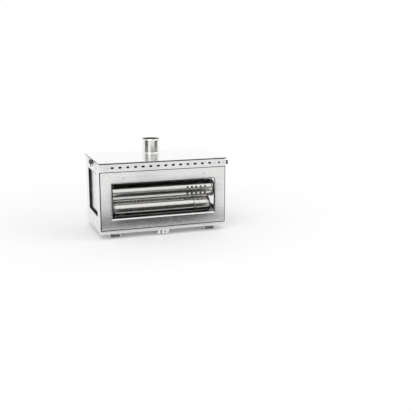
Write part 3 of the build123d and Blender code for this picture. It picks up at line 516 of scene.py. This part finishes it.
def make_finishes(colours):
    """Makes each finish once: sheet metal has one finish for each way its grain runs."""
    for along in "xyz":
        finishes["polished_steel", along] = steel_finish(
            f"polished_sheet_{along}", colours.polished, 0.26, along, interior_shade=colours.interior_shade,
        )
        # the inner sheet's dark colour is painted shade for the firebox's inside
        finishes["inner_steel", along] = steel_finish(
            f"inner_sheet_{along}", colours.inner, 0.36, along, streaks=0.22, smudges=0.14,
        )
        finishes["flue_steel", along] = flue_finish(colours.flue, colours.interior_shade, along)
    finishes["plate_steel", "x"] = steel_finish(
        "cooktop_sheet", colours.plate, 0.20, "x", streaks=0.05, wave=0.08,
        interior_shade=colours.interior_shade, plate_edge_shade=colours.plate_edge_shade,
    )
    finishes["fastener_steel", "x"] = fastener_finish(colours.fastener)
    finishes["dark_steel", "x"] = coating_finish(colours.coating)
    finishes["seal_tape", "x"] = tape_finish(colours.tape)
    finishes["stove_glass", "x"] = glass_finish(colours.glass, colours.wiped_glass)


# Making pieces

def only_verts(geometry):
    """The vertices in what a bmesh operator made."""
    return [part for part in geometry if isinstance(part, bmesh.types.BMVert)]


def place_object(name, data):
    """Links a new object to the scene."""
    item = bpy.data.objects.new(name, data)
    bpy.context.scene.collection.objects.link(item)
    return item


def add_piece(name, mesh, nodes, along="x"):
    """Turns a bmesh into a piece that rides, is dressed and stands for its CAD nodes."""
    data = bpy.data.meshes.new(name)
    mesh.to_mesh(data)
    mesh.free()
    data.shade_smooth()
    data.set_sharp_from_angle(angle=SHARP_ANGLE)
    piece = place_object(name, data)
    slot = SLOT_OF[nodes[0]]
    data.materials.append(finishes[slot, along])
    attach(piece, BODY_OF[nodes[0]])
    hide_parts(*nodes)
    return piece


def cad_mesh(node):
    """A merged copy of a CAD node's mesh."""
    mesh = bmesh.new()
    mesh.from_mesh(frame["nodes"][node].data)
    bmesh.ops.remove_doubles(mesh, verts=mesh.verts, dist=MERGE_DISTANCE)
    return mesh


def round_edges(mesh, edges, width, steps):
    """Rounds edges of a mesh."""
    bmesh.ops.bevel(
        mesh, geom=edges, offset=width, offset_type="OFFSET", affect="EDGES",
        segments=steps, profile=0.5, material=-1, clamp_overlap=True,
    )


def dress_sheet(node, along="x", width=None):
    """Dresses one folded-sheet node: flat faces whole again, soft edges and its rolled grain."""
    sizes = bpy.context.scene.stove_sizes
    mesh = cad_mesh(node)
    bmesh.ops.dissolve_limit(mesh, angle_limit=FLAT_ANGLE, verts=mesh.verts, edges=mesh.edges)
    sharp = [
        edge for edge in mesh.edges
        if len(edge.link_faces) == 2 and edge.calc_face_angle(0) > SOFTENED_ANGLE
    ]
    round_edges(mesh, sharp, sizes.edge_softness if width is None else width, sizes.edge_steps)
    piece = add_piece(f"{node}_finished", mesh, [node], along)
    # keeps wide flat faces flat beside their rounded edges
    normals = piece.modifiers.new("flat faces", "WEIGHTED_NORMAL")
    normals.keep_sharp = True
    normals.weight = FLAT_WEIGHT


def dress_turned(node):
    """Dresses turned pieces, whose domes and shanks shade smooth."""
    add_piece(f"{node}_finished", cad_mesh(node), [node])


def spin_profile(mesh, profile, sides):
    """Spins a closed profile of (radius, height) points about Z."""
    points = [mesh.verts.new((radius, 0, height)) for radius, height in profile]
    rim = [mesh.edges.new((a, b)) for a, b in zip(points, points[1:] + points[:1])]
    bmesh.ops.spin(
        mesh, geom=points + rim, cent=(0, 0, 0), axis=(0, 0, 1), angle=tau,
        steps=sides, use_merge=True, use_duplicate=False,
    )
    bmesh.ops.remove_doubles(mesh, verts=mesh.verts, dist=SPIN_MERGE_DISTANCE)
    bmesh.ops.recalc_face_normals(mesh, faces=mesh.faces)


def arc(centre, radius, start, end, steps):
    """Points on an arc of a profile, with angles in degrees."""
    angles = [radians(start + (end - start) * step / steps) for step in range(steps + 1)]
    return [(centre[0] + radius * cos(a), centre[1] + radius * sin(a)) for a in angles]


def lay_along_x(mesh, left, centre):
    """Turns a piece spun about Z to lie along X, from its left end."""
    turn = Matrix.Translation((left, centre.y, centre.z)) @ Matrix.Rotation(pi / 2, 4, "Y")
    bmesh.ops.transform(mesh, matrix=turn, verts=mesh.verts)


def tube_profile(outer, wall, length, groove, inset):
    """A tube wall whose two ends are rolled smooth, with a shallow rolled groove near each."""
    inner, lip = outer - wall, wall / 2
    middle = outer - lip
    mouth, bed = 1.4 * MM, 0.8 * MM
    grooves = [
        (outer - depth, spot + side)
        for spot in (inset, length - inset)
        for side, depth in ((-mouth, 0.0), (-bed, groove), (bed, groove), (mouth, 0.0))
    ]
    return (
        arc((middle, lip), lip, 180, 360, 6) + grooves
        + arc((middle, length - lip), lip, 0, 180, 6) + [(inner, length / 2)]
    )


def mark_painted_shade(mesh, centre, axis, radius=0.0):
    """Marks faces for painted shade in the bore: those that look inwards at an axis or lie below a radius.
    """
    bore = mesh.faces.layers.float.new("bore")
    for face in mesh.faces:
        away = face.calc_center_median() - centre
        away -= away.dot(axis) * axis
        inwards = face.normal.dot(away.normalized()) < INWARD_FACING
        face[bore] = 1.0 if inwards or away.length < radius else 0.0


def rolled_tube(mesh, node, sizes):
    """Spins one stored flue section in place and gives its centre and radius."""
    low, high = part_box(node)
    radius = (high.z - low.z) / 2
    centre = (low + high) / 2
    length = high.x - low.x
    profile = tube_profile(radius, sizes.tube_wall, length, sizes.groove_depth, sizes.groove_inset)
    spin_profile(mesh, profile, sizes.tube_sides)
    lay_along_x(mesh, low.x, centre)
    # the bed of each groove is marked as bore too, so that painted shade keeps it dark
    groove_bed = radius - 0.7 * sizes.groove_depth
    mark_painted_shade(mesh, centre, Vector((1, 0, 0)), groove_bed)
    return centre, radius


def lay_strip(mesh, place, size):
    """Adds a thin strip with rounded edges at a place."""
    made = bmesh.ops.create_cube(mesh, size=1.0, matrix=place @ Matrix.Diagonal((*size, 1.0)))
    edges = dict.fromkeys(edge for vert in made["verts"] for edge in vert.link_edges)
    round_edges(mesh, list(edges), STRIP_SOFTNESS, STRIP_STEPS)


# Making the stage

def lay_grid(name, steps, size, place=Matrix.Identity(4)):
    """Makes a flat sheet for the stage."""
    mesh = bmesh.new()
    bmesh.ops.create_grid(mesh, x_segments=steps, y_segments=steps, size=size)
    bmesh.ops.transform(mesh, matrix=place, verts=mesh.verts)
    data = bpy.data.meshes.new(name)
    mesh.to_mesh(data)
    mesh.free()
    return place_object(name, data)


def lay_floor(stage, colour):
    """Lays the plain floor, which turns to plain white away from the stove."""
    floor = lay_grid("floor", 2, FLOOR_REACH)
    paint = Finish("floor_paint", Roughness=0.9)
    paint.shader.inputs["Specular IOR Level"].default_value = 0.1
    mottle = paint.noise(1.5)
    paint.set(Base_Color=paint.blend(mottle, shade(colour, 1.0), shade(colour, 0.98)))
    reach = paint.add("ShaderNodeVectorMath", {"operation": "LENGTH"}, {0: paint.place}, "Value")
    far = paint.step(reach, stage.fade_start, stage.fade_end)
    share = paint.shown() * (stage.floor_glow + (1 - stage.floor_glow) * far)
    glow = paint.add("ShaderNodeEmission", {}, {"Color": WHITE, "Strength": 1.0})
    matt = Wire(paint, paint.shader.outputs["BSDF"])
    paint.feed(paint.output, "Surface", paint.add("ShaderNodeMixShader", {}, {0: share, 1: matt, 2: glow}))
    floor.data.materials.append(paint.material)


def stand_card(name, place, width, height, colour, fade=None):
    """Stands one dark card that only reflections show, with an optional fade of its material."""
    felt = Finish(f"{name}_felt", Roughness=1.0)
    felt.shader.inputs["Specular IOR Level"].default_value = 0.0
    felt.set(Base_Color=felt.blend(felt.noise(60.0), shade(colour, 0.9), shade(colour, 1.1)))
    if fade is not None:
        fade(felt)
    card = lay_grid(name, 1, 0.5, place @ Matrix.Diagonal((width, height, 1.0, 1.0)))
    card.data.materials.append(felt.material)
    for kind in ("camera", "diffuse", "transmission", "volume_scatter", "shadow"):
        setattr(card, f"visible_{kind}", False)


def stand_cards(stage, colour):
    """Stands a card on each side, two upright cards in front and a low one before the stove."""
    upright = Matrix.Rotation(pi / 2, 4, "X")
    side = Matrix.Translation((0, stage.side_card_distance, stage.side_card_height / 2)) @ upright
    heading = stage.yaw + pi
    for name in ("left_card", "right_card"):
        turn = Matrix.Rotation(getattr(stage, f"{name}_turn") - heading, 4, "Z")
        stand_card(name, turn @ side, getattr(stage, f"{name}_width"), stage.side_card_height, colour)
    for name in ("far_card", "window_card"):
        foot, top = getattr(stage, f"{name}_foot"), getattr(stage, f"{name}_top")
        spot = (getattr(stage, f"{name}_middle"), -getattr(stage, f"{name}_distance"), (foot + top) / 2)
        place = Matrix.Translation(spot) @ upright
        stand_card(name, place, getattr(stage, f"{name}_width"), top - foot, colour)

    def fade(felt):
        across, along = (felt.add("ShaderNodeSeparateXYZ", {}, {0: felt.place}, axis) for axis in "XY")
        near = felt.step(along, -stage.front_card_reach, -stage.front_card_start)
        felt.set(Alpha=near * felt.step(across, stage.front_card_clear, stage.front_card_full))

    near, reach = stage.front_card_near, stage.front_card_reach
    place = Matrix.Translation((0, -(near + reach) / 2, 2 * MM))
    stand_card("front_card", place, stage.front_card_width, reach - near, colour, fade)


def light_room(room_light):
    """Fills the room with white light, a little weaker on matt surfaces than in the camera's view."""
    world = bpy.data.worlds.new("studio")
    bpy.context.scene.world = world
    world.use_nodes = True
    graph = Graph(world.node_tree)
    level = graph.add("ShaderNodeMapRange", {}, {"Value": graph.shown(), "To Min": room_light})
    room = graph.add("ShaderNodeBackground", {}, {"Color": WHITE, "Strength": level})
    graph.feed(graph.tree.nodes.new("ShaderNodeOutputWorld"), "Surface", room)


def hang_lamp(name, power, size, place):
    """Hangs one square lamp that looks at the stove."""
    lamp = bpy.data.lights.new(name, "AREA")
    lamp.energy, lamp.size = power, size
    softbox = place_object(name, lamp)
    softbox.location = place
    softbox.rotation_euler = (-Vector(place)).to_track_quat("-Z", "Y").to_euler()


def place_camera(stage):
    """Places the camera where the photo was taken from."""
    heading = Vector((
        sin(stage.yaw) * cos(stage.pitch), cos(stage.yaw) * cos(stage.pitch), -sin(stage.pitch),
    ))
    level_right = Vector((cos(stage.yaw), -sin(stage.yaw), 0))
    level_up = level_right.cross(heading)
    right = cos(stage.roll) * level_right + sin(stage.roll) * level_up
    up = cos(stage.roll) * level_up - sin(stage.roll) * level_right
    lens = bpy.data.cameras.new("camera")
    lens.lens, lens.sensor_width = stage.lens, SENSOR_WIDTH
    camera = place_object("camera", lens)
    turn = Matrix((right, up, -heading)).transposed().to_4x4()
    camera.matrix_world = Matrix.Translation(stage.eye) @ turn
    bpy.context.scene.camera = camera


# The operators, one for each group of pieces

class STOVE_OT_stage(bpy.types.Operator):
    """Sets the floor, the cards, the room light, the lamps and the camera"""

    bl_idname = "stove.stage"
    bl_label = "Stage"

    def execute(self, context):
        stage = context.scene.stove_stage
        colours = context.scene.stove_colours
        lay_floor(stage, colours.floor)
        stand_cards(stage, colours.card)
        light_room(stage.room_light)
        hang_lamp("key_lamp", stage.key_power, stage.key_size, stage.key_place)
        hang_lamp("fill_lamp", stage.fill_power, stage.fill_size, stage.fill_place)
        place_camera(stage)
        context.scene.view_settings.view_transform = "Standard"
        return {"FINISHED"}


class STOVE_OT_shell(bpy.types.Operator):
    """Dresses the pan, the panels, the header strip and the latch plate"""

    bl_idname = "stove.shell"
    bl_label = "Shell"

    def execute(self, context):
        for node in ("bottom_pan", "front_panel", "back_panel", "baffle_plate"):
            dress_sheet(node, "x")
        dress_sheet("front_air_strip", "x", width=0.1 * MM)
        for node in ("left_side_panel", "right_side_panel", "latch_plate"):
            dress_sheet(node, "y")
        return {"FINISHED"}


class STOVE_OT_cooktop(bpy.types.Operator):
    """Dresses the flat cooktop plate"""

    bl_idname = "stove.cooktop"
    bl_label = "Cooktop plate"

    def execute(self, context):
        dress_sheet("cooktop_plate", "x", width=0.45 * MM)
        return {"FINISHED"}


class STOVE_OT_collar(bpy.types.Operator):
    """Spins the flue collar with its welded foot and rolled rim"""

    bl_idname = "stove.collar"
    bl_label = "Flue collar"

    def execute(self, context):
        sizes = context.scene.stove_sizes
        low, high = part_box("flue_collar")
        plate_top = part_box("cooktop_plate")[1].z
        reach = (high.x - low.x) / 2
        inner = sizes.collar_radius
        outer = inner + sizes.collar_wall
        foot = reach - outer
        bead_length, bead_steps = 4 * MM, 10
        straight = 0.5 * MM
        chamfer_across, chamfer_down = 0.3 * MM, 0.4 * MM
        swell = [
            (outer + sizes.collar_bead * sin(pi * step / bead_steps),
             high.z - bead_length * (1 - step / bead_steps))
            for step in range(bead_steps + 1)
        ]
        mesh = bmesh.new()
        profile = [(inner, low.z), (outer, low.z), (outer, plate_top), (reach, plate_top)]
        profile += arc((reach, plate_top + foot), foot, 265, 185, 6)
        profile += [(outer, plate_top + foot + straight), (outer, high.z - bead_length - straight)]
        profile += swell + [(inner + chamfer_across, high.z), (inner, high.z - chamfer_down)]
        spin_profile(mesh, profile, sizes.tube_sides)
        centre = Vector(((low.x + high.x) / 2, (low.y + high.y) / 2, 0))
        bmesh.ops.translate(mesh, vec=centre, verts=mesh.verts)
        # painted shade on the collar's inside
        mark_painted_shade(mesh, centre, Vector((0, 0, 1)))
        add_piece("flue_collar_rolled", mesh, ["flue_collar"], "z")
        return {"FINISHED"}


class STOVE_OT_flue_sections(bpy.types.Operator):
    """Makes the stored flue sections, one with its crimped lock seam"""

    bl_idname = "stove.flue_sections"
    bl_label = "Flue sections"

    def execute(self, context):
        sizes = context.scene.stove_sizes
        for node in ("front_flue_inner", "rear_flue_outer", "rear_flue_inner"):
            mesh = bmesh.new()
            rolled_tube(mesh, node, sizes)
            add_piece(f"{node}_rolled", mesh, [node], "x")

        mesh = bmesh.new()
        centre, radius = rolled_tube(mesh, "front_flue_outer", sizes)
        low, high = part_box("front_flue_outer")
        length = high.x - low.x
        turned = Matrix.Translation(centre) @ Matrix.Rotation(sizes.seam_turn, 4, "X")
        proud, sunk = sizes.seam_proud, 0.2 * MM
        lap_height, lap_width, lap_lift = 0.9 * MM, 1.6 * MM, 0.1 * MM
        seam_shade, crimp_share = 0.85, 0.8
        bore = mesh.faces.layers.float["bore"]
        plain = set(mesh.faces)
        seam = turned @ Matrix.Translation((0, radius + proud / 2 - sunk, 0))
        lay_strip(mesh, seam, (length, proud + 2 * sunk, sizes.seam_width))
        lap = Matrix.Translation(centre) @ Matrix.Rotation(sizes.seam_turn + sizes.lap_turn, 4, "X")
        lap = lap @ Matrix.Translation((0, radius + lap_lift, 0))
        lay_strip(mesh, lap, (length, lap_height, lap_width))
        # painted shade: the lock seam strip and its lap are painted dark, a dark seam line and the lap's
        # shadow line; the crimps stay bright
        for face in set(mesh.faces) - plain:
            face[bore] = seam_shade
        swell = Matrix.Diagonal(
            (sizes.crimp_length, 2 * sizes.crimp_rise, crimp_share * sizes.seam_width, 1.0)
        )
        for index in range(int(length / sizes.crimp_pitch) - 1):
            along = sizes.crimp_pitch * (index + 1) + sizes.crimp_length / 2 - length / 2
            crimp = turned @ Matrix.Translation((along, radius + proud - sunk, 0))
            bmesh.ops.create_uvsphere(
                mesh, u_segments=16, v_segments=10, radius=0.5, matrix=crimp @ swell,
            )
        add_piece("front_flue_outer_rolled", mesh, ["front_flue_outer"], "x")
        return {"FINISHED"}


class STOVE_OT_spark_arrestor(bpy.types.Operator):
    """Makes the pierced spark arrestor section and its end cap"""

    bl_idname = "stove.spark_arrestor"
    bl_label = "Spark arrestor"

    def execute(self, context):
        sizes = context.scene.stove_sizes
        low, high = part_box("spark_arrestor")
        centre, radius = (low + high) / 2, (high.z - low.z) / 2
        width, height = sizes.vent_pitch, tau * radius / sizes.vent_rows

        # one flat cell round one vent: the cell's edge has as many points as the vent's, a quarter a side
        points = 32
        quarter = points // 4
        mesh = bmesh.new()
        vent = bmesh.ops.create_circle(
            mesh, cap_ends=False, radius=sizes.vent_radius, segments=points,
        )
        edge = bmesh.ops.create_circle(
            mesh, cap_ends=False, radius=2 * sizes.vent_radius, segments=points,
        )
        for vert in edge["verts"]:
            index = round(atan2(vert.co.y, vert.co.x) / tau * points) + quarter // 2
            side, part = divmod(index % points, quarter)
            reach = 2 * part / quarter - 1
            across, up = ((1, reach), (-reach, 1), (-1, -reach), (reach, -1))[side]
            vert.co = Vector((across * width / 2, up * height / 2, 0))
        bmesh.ops.bridge_loops(mesh, edges=mesh.edges[:])
        radial = [
            rib for rib in mesh.edges
            if sum(vert in vent["verts"] for vert in rib.verts) == 1
        ]
        bmesh.ops.subdivide_edges(mesh, edges=radial, cuts=1)
        cell = mesh.verts[:] + mesh.edges[:] + mesh.faces[:]
        for column in range(sizes.vent_columns):
            for row in range(sizes.vent_rows):
                if column or row:
                    copied = bmesh.ops.duplicate(mesh, geom=cell)["geom"]
                    shift = (column * width, row * height, 0)
                    bmesh.ops.translate(mesh, vec=shift, verts=only_verts(copied))

        # bend the sheet of cells to a tube, then draw its two ends out
        first = high.x - sizes.vent_setback
        for vert in mesh.verts:
            turn = sizes.vent_turn + vert.co.y / radius
            out = Vector((0, cos(turn), sin(turn))) * radius
            vert.co = Vector((first + vert.co.x, centre.y, centre.z)) + out
        bmesh.ops.remove_doubles(mesh, verts=mesh.verts, dist=CELL_MERGE_DISTANCE)
        cells_end = first + (sizes.vent_columns - 0.5) * width
        for goal, reached in ((low.x, first - width / 2), (high.x, cells_end)):
            rim = [
                edge for edge in mesh.edges
                if all(abs(vert.co.x - reached) < RIM_TOLERANCE for vert in edge.verts)
            ]
            drawn = bmesh.ops.extrude_edge_only(mesh, edges=rim)["geom"]
            bmesh.ops.translate(mesh, vec=(goal - reached, 0, 0), verts=only_verts(drawn))
        bmesh.ops.recalc_face_normals(mesh, faces=mesh.faces)
        outwards = mesh.faces[0].calc_center_median() - centre
        if mesh.faces[0].normal.dot(Vector((0, outwards.y, outwards.z))) < 0:
            bmesh.ops.reverse_faces(mesh, faces=mesh.faces)
        bmesh.ops.solidify(mesh, geom=mesh.faces[:], thickness=sizes.tube_wall)
        # painted shade on the arrestor's inside, so that the vents read black
        mark_painted_shade(mesh, centre, Vector((1, 0, 0)))
        add_piece("spark_arrestor_pierced", mesh, ["spark_arrestor"], "x")

        low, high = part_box("spark_arrestor_cap")
        cap_radius, length = (high.z - low.z) / 2, high.x - low.x
        wall, soft, chamfer = cap_radius - radius, 1.1 * MM, 0.3 * MM
        groove = cap_radius - 0.35 * MM
        dish_rim, dish_foot, dish = 0.72 * radius, 0.68 * radius, length - 0.5 * MM
        inner_end = length - wall - 0.2 * MM
        profile = [(radius, 0), (cap_radius - chamfer, 0), (cap_radius, chamfer)]
        profile += [(cap_radius, 0.4 * length), (groove, 0.47 * length), (cap_radius, 0.54 * length)]
        profile += arc((cap_radius - soft, length - soft), soft, 0, 90, 6)
        profile += [(dish_rim, length), (dish_foot, dish), (0, dish)]
        profile += [(0, inner_end), (radius, inner_end)]
        mesh = bmesh.new()
        spin_profile(mesh, profile, sizes.tube_sides)
        lay_along_x(mesh, low.x, (low + high) / 2)
        # painted shade on the cap's inside
        mark_painted_shade(mesh, (low + high) / 2, Vector((1, 0, 0)))
        add_piece("spark_arrestor_cap_spun", mesh, ["spark_arrestor_cap"], "x")
        return {"FINISHED"}


class STOVE_OT_glazing(bpy.types.Operator):
    """Dresses the front and right panes and their clips"""

    bl_idname = "stove.glazing"
    bl_label = "Glazing"

    def execute(self, context):
        for node in ("front_glass", "right_glass"):
            dress_sheet(node, "x", width=0.4 * MM)
        for node in ("front_glass_clips", "right_glass_clips"):
            dress_sheet(node, "x", width=0.2 * MM)
        return {"FINISHED"}


class STOVE_OT_seals(bpy.types.Operator):
    """Dresses the woven sealing tapes"""

    bl_idname = "stove.seals"
    bl_label = "Seals"

    def execute(self, context):
        for node in (
            "front_glass_seal", "right_glass_seal", "front_panel_seal", "door_seal", "cooktop_seal",
        ):
            dress_sheet(node, "x", width=0.3 * MM)
        return {"FINISHED"}


class STOVE_OT_door(bpy.types.Operator):
    """Dresses the loading door and its liner"""

    bl_idname = "stove.door"
    bl_label = "Loading door"

    def execute(self, context):
        dress_sheet("loading_door", "y")
        dress_sheet("door_liner", "y")
        return {"FINISHED"}


class STOVE_OT_latch(bpy.types.Operator):
    """Dresses the turn knob, its shaft, cam and ring"""

    bl_idname = "stove.latch"
    bl_label = "Latch"

    def execute(self, context):
        dress_sheet("latch_knob", "x", width=0.35 * MM)
        dress_sheet("latch_cam", "y")
        dress_turned("latch_shaft")
        dress_turned("latch_retaining_ring")
        return {"FINISHED"}


class STOVE_OT_air_controls(bpy.types.Operator):
    """Dresses the air slider, its tab, and the primary air slide with its rails"""

    bl_idname = "stove.air_controls"
    bl_label = "Air controls"

    def execute(self, context):
        dress_sheet("air_slider_strip", "x", width=0.2 * MM)
        dress_sheet("air_slider_tab", "x", width=0.35 * MM)
        dress_sheet("primary_air_slide", "x")
        dress_sheet("air_slide_rails", "y")
        return {"FINISHED"}


class STOVE_OT_grate(bpy.types.Operator):
    """Dresses the wood grate and its ledges"""

    bl_idname = "stove.grate"
    bl_label = "Grate"

    def execute(self, context):
        dress_sheet("wood_grate", "x")
        dress_sheet("left_grate_ledge", "y")
        dress_sheet("right_grate_ledge", "y")
        return {"FINISHED"}


class STOVE_OT_legs(bpy.types.Operator):
    """Dresses the folding legs and their brackets"""

    bl_idname = "stove.legs"
    bl_label = "Folding legs"

    def execute(self, context):
        for node in (
            "front_left_leg", "front_right_leg", "back_left_leg", "back_right_leg", "leg_brackets",
        ):
            dress_sheet(node, "y")
        return {"FINISHED"}


class STOVE_OT_fasteners(bpy.types.Operator):
    """Dresses the rivets, pins and washers"""

    bl_idname = "stove.fasteners"
    bl_label = "Fasteners"

    def execute(self, context):
        for node in (
            "front_panel_rivets", "right_panel_rivets", "back_panel_rivets", "latch_plate_rivets",
            "left_ledge_rivets", "right_ledge_rivets", "slider_guide_rivets", "slider_guide_washers",
            "air_slider_pin", "door_pivot_pins", "leg_pins",
        ):
            dress_turned(node)
        return {"FINISHED"}


class STOVE_PT_pieces(bpy.types.Panel):
    """Lists the stove's pieces in the sidebar"""

    bl_label = "Portable wood stove"
    bl_space_type = "VIEW_3D"
    bl_region_type = "UI"
    bl_category = "Stove"

    def draw(self, context):
        for operator in OPERATORS:
            self.layout.operator(operator.bl_idname)
        for name, kind in GROUPS.items():
            for setting in kind.__annotations__:
                self.layout.prop(getattr(context.scene, name), setting)


GROUPS = {"stove_sizes": StoveSizes, "stove_colours": StoveColours, "stove_stage": StoveStage}
OPERATORS = (
    STOVE_OT_stage, STOVE_OT_shell, STOVE_OT_cooktop, STOVE_OT_collar, STOVE_OT_flue_sections,
    STOVE_OT_spark_arrestor, STOVE_OT_glazing, STOVE_OT_seals, STOVE_OT_door, STOVE_OT_latch,
    STOVE_OT_air_controls, STOVE_OT_grate, STOVE_OT_legs, STOVE_OT_fasteners,
)


def register():
    for group in (*GROUPS.values(), *OPERATORS, STOVE_PT_pieces):
        bpy.utils.register_class(group)
    for name, group in GROUPS.items():
        setattr(bpy.types.Scene, name, PointerProperty(type=group))


def unregister():
    for name in GROUPS:
        delattr(bpy.types.Scene, name)
    for group in reversed((*GROUPS.values(), *OPERATORS, STOVE_PT_pieces)):
        bpy.utils.unregister_class(group)


def main():
    """Builds the stage and every piece."""
    register()
    make_finishes(bpy.context.scene.stove_colours)
    for operator in OPERATORS:
        group, name = operator.bl_idname.split(".")
        getattr(getattr(bpy.ops, group), name)()


if __name__ == "__main__":
    main()
